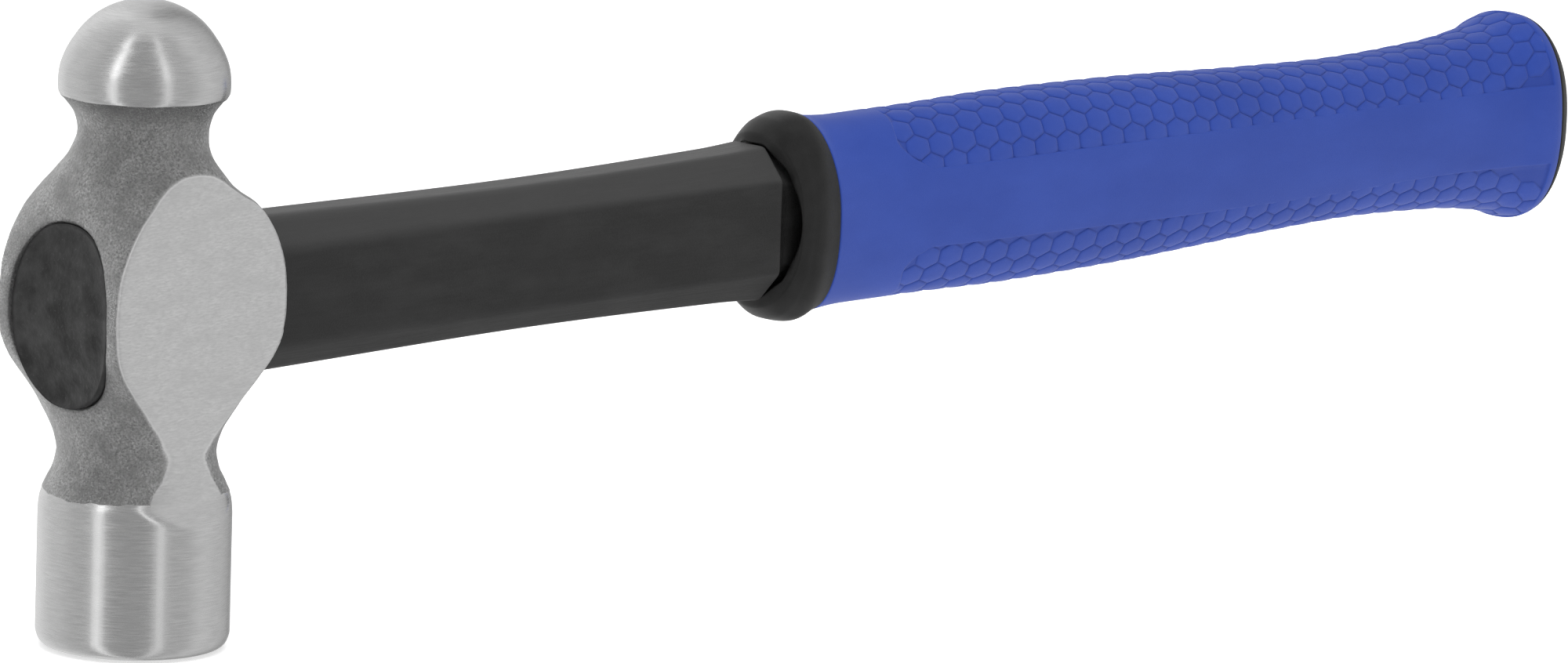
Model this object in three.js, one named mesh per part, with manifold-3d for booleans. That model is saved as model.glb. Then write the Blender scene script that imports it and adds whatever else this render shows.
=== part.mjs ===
// A ball peen hammer with a steel head and a fibreglass handle, in millimetres.
// The origin is the centre of the striking face. +Z runs up the head to the ball,
// and +X runs along the handle to the butt. The cheeks of the head face -Y and +Y.

import * as THREE from 'three';
import { mergeVertices } from 'three/addons/utils/BufferGeometryUtils.js';
import Module from 'manifold-3d';

const wasm = await Module();
wasm.setup();

// Head
const HEAD_LENGTH = 102;
const FACE_RADIUS = 13.4;
const BELL_RADIUS = 15.2;
const BELL_LENGTH = 21;
const LOWER_NECK_RADIUS = 12.5;
const EYE_HALF_LENGTH = 17.4; // along the handle
const EYE_HEIGHT = 53.6; // the eye's middle, and the handle's axis
const CHEEK_HALF_WIDTH = 13.85; // across the ground cheeks
const UPPER_NECK_RADIUS = 10.25;
const BALL_RADIUS = 13.3;

// Handle
const CORE_HALF_HEIGHT = 7.6;
const CORE_HALF_THICKNESS = 4.2;
const SHAFT_START = 9;
const SHAFT_END = 133.2; // where the full section of the shaft stops, in front of the collar
const SHAFT_HALF_HEIGHT = 11.7; // at its waist
const SHAFT_THICKNESS_RATIO = 0.63;
const COLLAR_FRONT = 133.5;
const LIP_SETBACK = 3; // how much further back the collar's lip is at its sides
const COLLAR_CREST = 141;
const COVER_START = 145.8;
const COVER_END = 320;
const BUTT_END = 326;
const COVER_WALL = 1.7;
const GAP = 0.3; // between touching pieces

const HALF_TURN = Math.PI;
const HEAD_SEGMENTS = 40;
const GRIP_SEGMENTS = 28;

/** A curve through [position, value] pairs that never overshoots them. */
function smoothCurve(pairs) {
  const x = pairs.map((pair) => pair[0]);
  const y = pairs.map((pair) => pair[1]);
  const slope = x.slice(1).map((position, i) => (y[i + 1] - y[i]) / (position - x[i]));
  const tangent = x.map((_, i) => {
    const before = slope[i - 1];
    const after = slope[i];
    if (before === undefined || after === undefined) return before ?? after;
    return before * after <= 0 ? 0 : (2 * before * after) / (before + after);
  });
  return (position) => {
    const p = THREE.MathUtils.clamp(position, x[0], x[x.length - 1]);
    const i = Math.max(0, x.findIndex((end) => end >= p) - 1);
    const step = x[i + 1] - x[i];
    const t = (p - x[i]) / step;
    const rise = y[i + 1] - y[i];
    return y[i] + rise * t * t * (3 - 2 * t)
      + step * t * (1 - t) * (tangent[i] * (1 - t) - tangent[i + 1] * t);
  };
}

/** One smooth curve for each value of rows such as [position, value, value, ...]. */
function smoothColumns(rows) {
  const curves = rows[0].slice(1).map((_, i) => smoothCurve(rows.map((row) => [row[0], row[i + 1]])));
  return (position) => curves.map((curve) => curve(position));
}

/** The points of a superellipse: 2 is an ellipse, and more is squarer. */
function superellipse(halfWidth, halfHeight, squareness, segments) {
  const points = [];
  for (let i = 0; i < segments; i += 1) {
    const angle = (2 * HALF_TURN * i) / segments;
    const c = Math.cos(angle);
    const s = Math.sin(angle);
    const size = (Math.abs(c) ** squareness + Math.abs(s) ** squareness) ** (-1 / squareness);
    points.push(new THREE.Vector2(halfWidth * c * size, halfHeight * s * size));
  }
  return points;
}

/** A closed skin over rings of points, which all have the same count, with flat ends. */
function skin(rings) {
  const segments = rings[0].length;
  const middle = (ring) => ring.reduce((sum, p) => sum.add(p), new THREE.Vector3()).divideScalar(segments);
  const points = [...rings.flat(), middle(rings[0]), middle(rings[rings.length - 1])];
  const first = rings.length * segments;
  const top = (rings.length - 1) * segments;
  const faces = [];
  for (let j = 0; j < segments; j += 1) {
    const k = (j + 1) % segments;
    faces.push(first, k, j, first + 1, top + j, top + k);
    for (let row = 0; row < top; row += segments) {
      faces.push(row + j, row + k, row + segments + k, row + j, row + segments + k, row + segments + j);
    }
  }
  const geometry = new THREE.BufferGeometry().setFromPoints(points);
  geometry.setIndex(faces);
  return geometry;
}

/** A skin along the handle. sections gives [half height, half thickness, squareness] at each place. */
function alongHandle(places, sections, segments, inset = 0) {
  return skin(places.map((x) => {
    const [halfHeight, halfThickness, squareness] = sections(x);
    return superellipse(halfThickness - inset, halfHeight - inset, squareness, segments)
      .map((p) => new THREE.Vector3(x, p.x, EYE_HEIGHT + p.y));
  }));
}

function toSolid(geometry) {
  const merged = mergeVertices(geometry.clone().deleteAttribute('normal').deleteAttribute('uv'));
  return new wasm.Manifold(new wasm.Mesh({
    numProp: 3,
    vertProperties: new Float32Array(merged.attributes.position.array),
    triVerts: new Uint32Array(merged.index.array),
  }));
}

function fromSolid(solid) {
  const mesh = solid.getMesh();
  const geometry = new THREE.BufferGeometry();
  geometry.setAttribute('position', new THREE.BufferAttribute(mesh.vertProperties, 3));
  geometry.setIndex(new THREE.BufferAttribute(mesh.triVerts, 1));
  geometry.computeVertexNormals();
  return geometry;
}

function cut(body, ...tools) {
  return fromSolid(tools.reduce((solid, tool) => solid.subtract(toSolid(tool)), toSolid(body)));
}

/** Evenly spaced places from start to end. */
function spread(start, end, count) {
  return Array.from({ length: count }, (_, i) => THREE.MathUtils.lerp(start, end, i / (count - 1)));
}

// ---- Sections ----

// The forging: height, half length along the handle, half width across it, squareness.
const forging = smoothColumns([
  [0, FACE_RADIUS, FACE_RADIUS, 2],
  [0.4, 14.2, 14.2, 2],
  [1.2, 14.85, 14.85, 2],
  [2.6, BELL_RADIUS, BELL_RADIUS, 2],
  [BELL_LENGTH, BELL_RADIUS, BELL_RADIUS, 2],
  [23.4, 15, 15, 2],
  [25.8, 14.1, 14.1, 2],
  [28.5, 12.95, 12.95, 2],
  [31.2, LOWER_NECK_RADIUS, LOWER_NECK_RADIUS, 2],
  [33.4, 12.8, 13.1, 2],
  [38.8, 14.4, 16, 2.2],
  [42.5, 15.4, 18.2, 2.7],
  [46.2, 16.5, 20.5, 3.6],
  [50, 17.2, 22, 5],
  [54.5, EYE_HALF_LENGTH, 22.2, 5.5],
  [59.5, 17.15, 21.8, 5],
  [64, 16.4, 20.2, 4],
  [68.6, 15.1, 18.4, 3],
  [72.3, 13.9, 15.9, 2.4],
  [75.2, 12.8, 13.6, 2.1],
  [77.9, 11.4, 11.5, 2],
  [81.4, UPPER_NECK_RADIUS, UPPER_NECK_RADIUS, 2],
  [84, 10.75, 10.75, 2],
  [86.4, 12.3, 12.3, 2],
  [87.5, 13.35, 13.35, 2],
  [HEAD_LENGTH - BALL_RADIUS, 13.45, 13.45, 2],
]);

// The half width that the cheeks are ground to at each height. Nothing is ground above 80 or below 20.
const cheekHalfWidth = smoothCurve([
  [20, 16],
  [22.3, 14.1],
  [24.8, 12.4],
  [31, 11.85],
  [38, 12.75],
  [45, 13.5],
  [50, CHEEK_HALF_WIDTH],
  [66, CHEEK_HALF_WIDTH],
  [71, 13.6],
  [75.6, 12.8],
  [77.2, 13.4],
  [80, 16],
]);

// How much the forging swells towards the handle: height, extra half length, extra half width.
const swelling = smoothColumns([
  [38, 0, 0],
  [41, 0.4, 0],
  [50, 1.2, 0],
  [58, 1.4, 0],
  [66, 1.3, 0.4],
  [70.4, 0.7, 0.9],
  [72.2, -1, 0.4],
  [74, -2.2, 0.1],
  [76, -2, -0.3],
  [78.2, -1.2, -0.8],
  [81.4, -0.2, 0],
  [84, 0, 0],
]);

// Along the handle: place, half height, half thickness, squareness.
const eyeHole = smoothColumns([
  [-20, 14.9, 11.3, 2.25],
  [-14, 14.4, 10.9, 2.25],
  [1, 13.4, 8.9, 2.8],
  [12, 14.7, 10, 2.9],
  [20, 15.2, 10.4, 3],
]);
const shaft = smoothColumns([
  [SHAFT_START, 12.6, 7.9, 3.4],
  [28, 12.35, 12.35 * SHAFT_THICKNESS_RATIO, 3.4],
  [80, SHAFT_HALF_HEIGHT, SHAFT_HALF_HEIGHT * SHAFT_THICKNESS_RATIO, 3.4],
  [124, 12.3, 12.3 * SHAFT_THICKNESS_RATIO, 3.4],
  [SHAFT_END, 12.8, 12.8 * SHAFT_THICKNESS_RATIO, 3.4],
]);
const collarMouth = smoothColumns([
  [COLLAR_FRONT, 12.3, 8.2, 2.4],
  [137, 12.5, 8.9, 2.3],
  [142, 11.8, 7, 2.1],
]);
const gripTang = smoothColumns([
  [SHAFT_END, 11.4, 6.5, 3],
  [160, 10.6, 5.9, 3],
  [322, 9.8, 5.9, 3],
]);
const grip = smoothColumns([
  [COLLAR_FRONT, 13.1, 8.3, 2.4],
  [134.5, 14.9, 9.3, 2.4],
  [137.4, 16.8, 9.6, 2.4],
  [COLLAR_CREST, 17.4, 9.9, 2.5],
  [COVER_START, 16.2, 9.1, 2.4],
  [153, 15.7, 8.9, 2.45],
  [169, 15.75, 9.3, 2.5],
  [190, 16.1, 10, 2.5],
  [218, 15.7, 10.3, 2.5],
  [255, 14.3, 10.25, 2.45],
  [275, 13.85, 10.3, 2.4],
  [298, 14.6, 10.8, 2.4],
  [311, 16.1, 11.9, 2.4],
  [316, 17.6, 12.9, 2.4],
  [318.5, 18.1, 13.2, 2.4],
  [320.5, 17.7, 12.8, 2.4],
  [322.7, 16.2, 11.6, 2.35],
  [324.6, 14, 9.8, 2.3],
  [BUTT_END, 11.5, 7.6, 2.3],
]);

// ---- Pieces ----

function headGeometry() {
  const heights = [
    0, 0.4, 1.2, 2.6, BELL_LENGTH, 22.3, 23.5, 24.8, 26.5, 28.5, 31, 33.4,
    36, 39, 42, 45, 47.5, ...spread(50, 66, 6), 68.5, 70.6, 72.6, 74.4, 76, 77.9,
    79.6, 81.4, 83, 84.8, 86.4, 87.5,
  ];
  const rings = heights.map((z) => {
    const [halfLength, halfWidth, squareness] = forging(z);
    const [extraLength, extraWidth] = swelling(z);
    const limit = cheekHalfWidth(z);
    return superellipse(halfLength, halfWidth, squareness, HEAD_SEGMENTS)
      .map((p) => {
        const back = Math.max(0, p.x / halfLength);
        const x = p.x + extraLength * back;
        const y = p.y * (1 + (extraWidth / halfWidth) * back);
        return new THREE.Vector3(x, THREE.MathUtils.clamp(y, -limit, limit), z);
      });
  });
  for (const angle of spread(0, 0.46 * HALF_TURN, 7)) {
    const radius = BALL_RADIUS * Math.cos(angle);
    const z = HEAD_LENGTH - BALL_RADIUS + BALL_RADIUS * Math.sin(angle);
    rings.push(superellipse(radius, radius, 2, HEAD_SEGMENTS).map((p) => new THREE.Vector3(p.x, p.y, z)));
  }
  // The flat on the last ring is the small centre of the ball's crown.
  for (const p of rings[rings.length - 1]) p.z = HEAD_LENGTH;
  return cut(skin(rings), alongHandle([-20, -14, -6, 1, 7, 12, 20], eyeHole, 32));
}

function resinGeometry() {
  const fill = alongHandle([-14.8, -8, 1, 8.6], eyeHole, 32, GAP);
  const coreEnd = -9;
  const pocket = alongHandle([coreEnd, 12], coreSection, 20, -GAP);
  return cut(fill, pocket);
}

/** The rod's section is the same all along. */
function coreSection() {
  return [CORE_HALF_HEIGHT, CORE_HALF_THICKNESS, 4];
}

function sealGeometry() {
  const outside = alongHandle([9.4, 11.5, 13.8], eyeHole, 32, GAP);
  return cut(outside, alongHandle([8, 16], shaft, 32, -GAP));
}

function coreGeometry() {
  return alongHandle([-8.7, 320], coreSection, 20);
}

function jacketGeometry() {
  const body = toSolid(alongHandle([SHAFT_START, 18, ...spread(28, 124, 6), SHAFT_END], shaft, 32));
  const tang = toSolid(alongHandle([SHAFT_END - 1, 142, 160, 240, 321], gripTang, 32));
  const bore = toSolid(alongHandle([0, 330], coreSection, 20, -GAP));
  return fromSolid(body.add(tang).subtract(bore));
}

/** The places where the liner and the cover share their shape. */
const underCover = [151, ...spread(169, 298, 7), 306, 311, 315, 318.5];

function linerGeometry() {
  const sleeveInset = COVER_WALL + GAP;
  const sleevePlaces = [142, ...underCover, COVER_END, BUTT_END - 1];
  const sleeve = toSolid(alongHandle(sleevePlaces, grip, GRIP_SEGMENTS, sleeveInset));
  const flange = toSolid(alongHandle([COVER_END + GAP, 321.5, 323, 324.6, BUTT_END], grip, GRIP_SEGMENTS));
  const bore = toSolid(alongHandle([COLLAR_FRONT - 1, 160, 240, 322.5], gripTang, 32, -GAP));
  const mouth = toSolid(alongHandle([COLLAR_FRONT - 0.5, 135, 137, 142], collarMouth, GRIP_SEGMENTS));
  return fromSolid(toSolid(collarSkin()).add(sleeve).add(flange).subtract(bore).subtract(mouth));
}

/** The collar, whose front lip bends back round the sides of the shaft. */
function collarSkin() {
  const places = [COLLAR_FRONT, 134.5, 136, 138.3, COLLAR_CREST, 143.6, COVER_START - GAP];
  return skin(places.map((place) => {
    const [halfHeight, halfThickness, squareness] = grip(place);
    const share = THREE.MathUtils.clamp((COLLAR_CREST - place) / (COLLAR_CREST - COLLAR_FRONT), 0, 1);
    return superellipse(halfThickness, halfHeight, squareness, GRIP_SEGMENTS).map((p) => {
      const side = (p.x / halfThickness) ** 2;
      return new THREE.Vector3(place + LIP_SETBACK * share * side, p.x, EYE_HEIGHT + p.y);
    });
  }));
}

function coverGeometry() {
  const outside = alongHandle([COVER_START, ...underCover, COVER_END], grip, GRIP_SEGMENTS);
  const inside = alongHandle([142, ...underCover, COVER_END, BUTT_END], grip, GRIP_SEGMENTS, COVER_WALL);
  return cut(outside, inside);
}

// ---- Materials ----

function surface(colour, roughness, metalness) {
  return new THREE.MeshStandardMaterial({ color: colour, roughness, metalness });
}

const steel = surface(0xb4b4b2, 0.35, 1);
const resin = surface(0x3c3c3e, 0.4, 0);
const rubber = surface(0x1c1c1c, 0.8, 0);
const fibreglass = surface(0xcfc48a, 0.5, 0);
const blackPlastic = surface(0x2b2b2b, 0.5, 0);
const blueRubber = surface(0x2f46a0, 0.6, 0);

const pieces = [
  ['hammer_head', headGeometry(), steel],
  ['eye_resin', resinGeometry(), resin],
  ['eye_seal', sealGeometry(), rubber],
  ['fibreglass_core', coreGeometry(), fibreglass],
  ['shaft_jacket', jacketGeometry(), blackPlastic],
  ['grip_liner', linerGeometry(), blackPlastic],
  ['grip_cover', coverGeometry(), blueRubber],
];

const hammer = new THREE.Group();
for (const [name, geometry, material] of pieces) {
  const mesh = new THREE.Mesh(geometry, material);
  mesh.name = name;
  hammer.add(mesh);
}

export default hammer;
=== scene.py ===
"""A ball peen hammer with a steel head and a fibreglass handle, in a white studio.

Shapes are worked out in millimetres and turned into metres when a mesh is made. The origin
is the centre of the striking face. +Z runs up the head to the ball, +X runs along the handle
to the butt, and the cheeks of the head face -Y and +Y.
"""

import math

import bpy
import numpy as np
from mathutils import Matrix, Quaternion, Vector


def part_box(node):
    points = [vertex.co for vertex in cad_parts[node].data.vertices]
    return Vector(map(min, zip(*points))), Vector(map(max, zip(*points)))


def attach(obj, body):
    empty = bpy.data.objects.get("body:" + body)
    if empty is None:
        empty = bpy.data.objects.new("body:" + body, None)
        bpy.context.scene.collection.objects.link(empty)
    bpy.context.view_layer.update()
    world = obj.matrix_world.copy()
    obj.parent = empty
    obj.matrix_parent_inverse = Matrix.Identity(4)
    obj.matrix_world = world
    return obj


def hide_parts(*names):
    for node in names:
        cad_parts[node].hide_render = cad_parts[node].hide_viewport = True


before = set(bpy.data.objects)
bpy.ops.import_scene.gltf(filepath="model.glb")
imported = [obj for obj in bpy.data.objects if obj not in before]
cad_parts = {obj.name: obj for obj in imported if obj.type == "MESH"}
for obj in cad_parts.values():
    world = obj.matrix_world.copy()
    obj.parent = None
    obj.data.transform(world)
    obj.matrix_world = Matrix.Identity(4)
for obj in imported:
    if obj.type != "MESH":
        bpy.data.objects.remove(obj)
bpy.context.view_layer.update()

MM = 0.001  # metres


def low(node):
    """A CAD node's lowest corner, in millimetres."""
    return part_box(node)[0] / MM


def high(node):
    """A CAD node's highest corner, in millimetres."""
    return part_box(node)[1] / MM


# ---- Sizes, in millimetres ----

HEAD_LENGTH = high("hammer_head").z
BELL_RADIUS = high("hammer_head").y
FACE_RADIUS = BELL_RADIUS - 1.8
BELL_END = 24.7  # the turned part of the bell stops here and the rough forging starts
BALL_RADIUS = 13.3
BALL_SKIRT = 13.45  # the ball's radius at its widest band
BALL_START = 87.2  # the turned part of the ball starts here
BALL_CENTRE = HEAD_LENGTH - BALL_RADIUS
LOWER_NECK_RADIUS = 12.5
UPPER_NECK_RADIUS = 10.25
EYE_HALF_LENGTH = 17.4
EYE_HEIGHT = (low("fibreglass_core").z + high("fibreglass_core").z) / 2
CHEEK_HALF_WIDTH = 13.85
HEAD_CELL = 0.5  # the pitch of the head's mesh
FORGING_STEP = 0.12  # how far the forging stands above the turned parts beside it
FORGING_RIPPLE = 0.035  # how uneven the forging is, each way
FACE_EDGE = 0.5  # here and below, how far apart two surfaces start to round into each other
CHEEK_EDGE = 0.45
CHEEK_FOOT_EDGE = 2.6
EYE_EDGE = 1.1
SLOPE_STEP = 0.1  # half the height over which a slope is measured

RESIN_FRONT = low("eye_resin").x
RESIN_BACK = high("eye_resin").x
SEAL_FRONT = low("eye_seal").x
SEAL_BACK = high("eye_seal").x

SHAFT_START = low("shaft_jacket").x
SHAFT_END = 133.2
SHAFT_THICKNESS_RATIO = 0.63
SHAFT_TOP_FLAT = 3.5  # half the width of the flat along the shaft's top and bottom
SHAFT_SIDE_FLAT = 7.7  # half the height of the flat along the shaft's sides
TANG_END = high("shaft_jacket").x

COLLAR_FRONT = low("grip_liner").x
COLLAR_CREST = 141.0
COLLAR_LENGTH = 16.5  # along its outline, from the bottom of its funnel to its crest
LIP_DISTANCE = 8.4  # along the same outline, to the lip
SEAM_LEAN = 3.3
COVER_START = low("grip_cover").x
COVER_END = high("grip_cover").x
BUTT_END = high("grip_liner").x
COVER_WALL = 1.7
LINER_INSET = 2.0

PAD_DEPTH = 0.32  # of the grooves between the tiles
PAD_FRONT = 165.0  # about where the pads start
PAD_END = BUTT_END - 8.1
TILE_PITCH = 5.29  # along the handle
TILE_ROW = 3.45  # around the handle
TILE_PHASE = 164.8  # where the middle of one tile is, along the handle
TILE_SPARE = 1.5  # how far a tile's middle may lie under the smooth rubber beside a pad
TILE_SPARE_AHEAD = 1.4  # the same, ahead of a pad
GIRTH_STEP = 0.2  # the pitch of the table of distances round the grip


# ---- Curves and sections ----

def smooth_curve(pairs):
    """A curve through (position, value) pairs that never overshoots them."""
    x, y = (np.array(column, float) for column in zip(*pairs))
    step = np.diff(x)
    slope = np.diff(y) / step
    before, after = slope[:-1], slope[1:]
    same_way = before * after > 0
    mean = 2 * before * after / np.where(same_way, before + after, 1)
    tangent = np.concatenate([slope[:1], np.where(same_way, mean, 0), slope[-1:]])

    def curve(position):
        p = np.clip(position, x[0], x[-1])
        i = np.clip(np.searchsorted(x, p) - 1, 0, len(step) - 1)
        t = (p - x[i]) / step[i]
        rise = y[i + 1] - y[i]
        bend = tangent[i] * (1 - t) - tangent[i + 1] * t
        return y[i] + rise * t * t * (3 - 2 * t) + step[i] * t * (1 - t) * bend

    return curve


def smooth_columns(rows):
    """One smooth curve for each value of rows such as (position, value, value, ...)."""
    curves = [smooth_curve([(row[0], row[i]) for row in rows]) for i in range(1, len(rows[0]))]
    return lambda position: [curve(position) for curve in curves]


# The forging: height, half length along the handle, half width across it, squareness.
forging = smooth_columns([
    (0, FACE_RADIUS, FACE_RADIUS, 2),
    (0.4, 14.2, 14.2, 2),
    (1.2, 14.85, 14.85, 2),
    (2.6, BELL_RADIUS, BELL_RADIUS, 2),
    (21, BELL_RADIUS, BELL_RADIUS, 2),
    (23.4, 15, 15, 2),
    (25.8, 14.1, 14.1, 2),
    (28.5, 12.95, 12.95, 2),
    (31.2, LOWER_NECK_RADIUS, LOWER_NECK_RADIUS, 2),
    (33.4, 12.8, 13.1, 2),
    (38.8, 14.4, 16, 2.2),
    (42.5, 15.4, 18.2, 2.7),
    (46.2, 16.5, 20.5, 3.6),
    (50, 17.2, 22, 5),
    (54.5, EYE_HALF_LENGTH, 22.2, 5.5),
    (59.5, 17.15, 21.8, 5),
    (64, 16.4, 20.2, 4),
    (68.6, 15.1, 18.4, 3),
    (72.3, 13.9, 15.9, 2.4),
    (75.2, 12.8, 13.6, 2.1),
    (77.9, 11.4, 11.5, 2),
    (81.4, UPPER_NECK_RADIUS, UPPER_NECK_RADIUS, 2),
    (84, 10.75, 10.75, 2),
    (86.4, 12.3, 12.3, 2),
    (87.5, 13.35, 13.35, 2),
    (BALL_CENTRE, BALL_SKIRT, BALL_SKIRT, 2),
])

# The half width that the cheeks are ground to at each height.
cheek_half_width = smooth_curve([
    (20, 16),
    (22.3, 14.1),
    (24.8, 12.4),
    (31, 11.85),
    (38, 12.75),
    (45, 13.5),
    (50, CHEEK_HALF_WIDTH),
    (66, CHEEK_HALF_WIDTH),
    (71, 13.6),
    (75.6, 12.8),
    (77.2, 13.4),
    (80, 16),
])

# The ball is turned in three bands, which meet in faint edges: degrees above its equator, and radius.
BALL_BANDS = [(0, BALL_SKIRT), (12, BALL_SKIRT), (33, 13.2), (55, BALL_RADIUS), (90, BALL_RADIUS)]

# How much the forging swells towards the handle: height, extra half length, extra half width.
swelling = smooth_columns([
    (38, 0, 0),
    (41, 0.4, 0),
    (50, 1.2, 0),
    (58, 1.4, 0),
    (66, 1.3, 0.4),
    (70.4, 0.7, 0.9),
    (72.2, -1, 0.4),
    (74, -2.2, 0.1),
    (76, -2, -0.3),
    (78.2, -1.2, -0.8),
    (81.4, -0.2, 0),
    (84, 0, 0),
])

# Along the handle: place, half height, half thickness, squareness.
eye_hole = smooth_columns([
    (-20, 14.9, 11.3, 2.25),
    (-14, 14.4, 10.9, 2.25),
    (1, 13.4, 8.9, 2.8),
    (12, 14.7, 10, 2.9),
    (20, 15.2, 10.4, 3),
])
shaft_half_height = smooth_curve([
    (SHAFT_START, 12.6),
    (28, 12.35),
    (80, 11.7),
    (124, 12.3),
    (SHAFT_END, 12.8),
])
grip = smooth_columns([
    (COLLAR_CREST - 3, 16.9, 9.6, 2.5),
    (COLLAR_CREST, 17.4, 9.9, 2.5),
    (COVER_START, 16.2, 9.1, 2.4),
    (153, 15.7, 8.9, 2.45),
    (169, 15.75, 9.3, 2.5),
    (190, 16.1, 10, 2.5),
    (218, 15.7, 10.3, 2.5),
    (255, 14.3, 10.25, 2.45),
    (275, 13.85, 10.3, 2.4),
    (298, 14.6, 10.8, 2.4),
    (311, 16.1, 11.9, 2.4),
    (316, 17.6, 12.9, 2.4),
    (318.5, 18.1, 13.2, 2.4),
    (320.5, 17.7, 12.8, 2.4),
    (322.7, 16.2, 11.6, 2.35),
    (324.6, 14, 9.8, 2.3),
    (BUTT_END, 11.5, 7.6, 2.3),
])


# ---- Meshes ----

def make_piece(name, points, faces, finish, nodes, fields=None):
    """A smooth-shaded object from points in millimetres, which stands for CAD nodes."""
    mesh = bpy.data.meshes.new(name)
    mesh.from_pydata((np.asarray(points) * MM).tolist(), [], [list(face) for face in faces])
    mesh.shade_smooth()
    for field, values in (fields or {}).items():
        attribute = mesh.attributes.new(field, "FLOAT", "POINT")
        attribute.data.foreach_set("value", np.asarray(values, np.float32).ravel())
    mesh.materials.append(finish)
    piece = bpy.data.objects.new(name, mesh)
    bpy.context.collection.objects.link(piece)
    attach(piece, "root")
    if nodes:
        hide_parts(*nodes)
    return piece


def grid_faces(rows, columns, closed_rows=False, first=0):
    """Quads over a grid of points whose columns close on themselves."""
    i, j = np.meshgrid(np.arange(rows if closed_rows else rows - 1), np.arange(columns), indexing="ij")
    right, below = (j + 1) % columns, (i + 1) % rows
    corners = [i * columns + j, below * columns + j, below * columns + right, i * columns + right]
    return (np.stack(corners, -1).reshape(-1, 4) + first).tolist()


def loft(rings, close_start=True, close_end=True):
    """Points and faces of a skin over rings of points, with its ends closed by fans."""
    rings = np.asarray(rings, float)
    count, columns = rings.shape[:2]
    points = rings.reshape(-1, 3)
    faces = grid_faces(count, columns)
    for wanted, ring, turn in ((close_start, 0, 1), (close_end, count - 1, -1)):
        if wanted:
            middle = len(points)
            points = np.vstack([points, rings[ring].mean(axis=0)])
            around = [ring * columns + j for j in range(columns)]
            faces += [(middle, *(around[j], around[(j + 1) % columns])[::turn]) for j in range(columns)]
    return points, faces


def superellipse(x, half_height, half_thickness, squareness, around, outward=0.0):
    """Points of a section of the handle. around is the angle from its top towards -Y."""
    s, c = np.sin(around), np.cos(around)
    size = (np.abs(s) ** squareness + np.abs(c) ** squareness) ** (-1 / squareness)
    y, z = -s * size, c * size
    normal_y = np.sign(y) * np.abs(y) ** (squareness - 1) / half_thickness
    normal_z = np.sign(z) * np.abs(z) ** (squareness - 1) / half_height
    length = np.hypot(normal_y, normal_z)
    return np.stack([
        x + 0 * y,
        y * half_thickness + outward * normal_y / length,
        z * half_height + outward * normal_z / length + EYE_HEIGHT,
    ], -1)


def rounded_outline(corners, radius, arc_steps=5, side_steps=6):
    """A polygon with rounded corners, as points in order."""
    corners = np.asarray(corners, float)
    starts, ends = [], []
    for before, corner, after in zip(np.roll(corners, 1, 0), corners, np.roll(corners, -1, 0)):
        back = (before - corner) / np.linalg.norm(before - corner)
        on = (after - corner) / np.linalg.norm(after - corner)
        turn = math.pi - math.acos(np.clip(back @ on, -1, 1))
        setback = radius * math.tan(turn / 2)
        starts.append(corner + back * setback)
        ends.append(corner + on * setback)
    points = []
    for i, corner in enumerate(corners):
        for t in np.linspace(0, 1, arc_steps + 1):
            points.append((1 - t) ** 2 * starts[i] + 2 * t * (1 - t) * corner + t * t * ends[i])
        following = starts[(i + 1) % len(corners)]
        for t in np.linspace(0, 1, side_steps + 1)[1:-1]:
            points.append(ends[i] + (following - ends[i]) * t)
    return np.array(points)


def ripple(points, waves, shortest, longest, seed):
    """Gentle unevenness from -1 to 1, as a sum of random waves."""
    draw = np.random.default_rng(seed)
    total = np.zeros(points.shape[:-1])
    for _ in range(waves):
        direction = draw.normal(size=3)
        direction *= 2 * math.pi / draw.uniform(shortest, longest) / np.linalg.norm(direction)
        total += np.sin(points @ direction + draw.uniform(0, 2 * math.pi))
    return total / math.sqrt(waves * 2)


# ---- The head, as the zero level of a field that is negative inside the steel ----

def outside_of(u, v, half_u, half_v, squareness):
    """About how far (u, v) is outside a superellipse."""
    a, b = np.abs(u / half_u), np.abs(v / half_v)
    level = np.maximum((a ** squareness + b ** squareness) ** (1 / squareness), 0.05)
    slope = level ** (1 - squareness) * np.hypot(
        a ** (squareness - 1) / half_u, b ** (squareness - 1) / half_v)
    return (level - 1) / np.maximum(slope, 0.01)


def round_max(a, b, radius):
    """The larger of two fields, with the edge between them rounded."""
    return np.maximum(a, b) + np.maximum(radius - np.abs(a - b), 0) ** 2 / (4 * radius)


def forged_reach(x, y, z):
    """How far a point is inside the rough forging between the turned bell and the turned ball."""
    angle = np.arctan2(y, x)
    wander = 0.16 * np.sin(5 * angle + 1) + 0.1 * np.sin(13 * angle) + 0.06 * np.sin(31 * angle)
    ball_start = BALL_START + 0.05 * np.sin(9 * angle)
    return np.minimum(z - (BELL_END + wander), ball_start - z)


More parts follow.
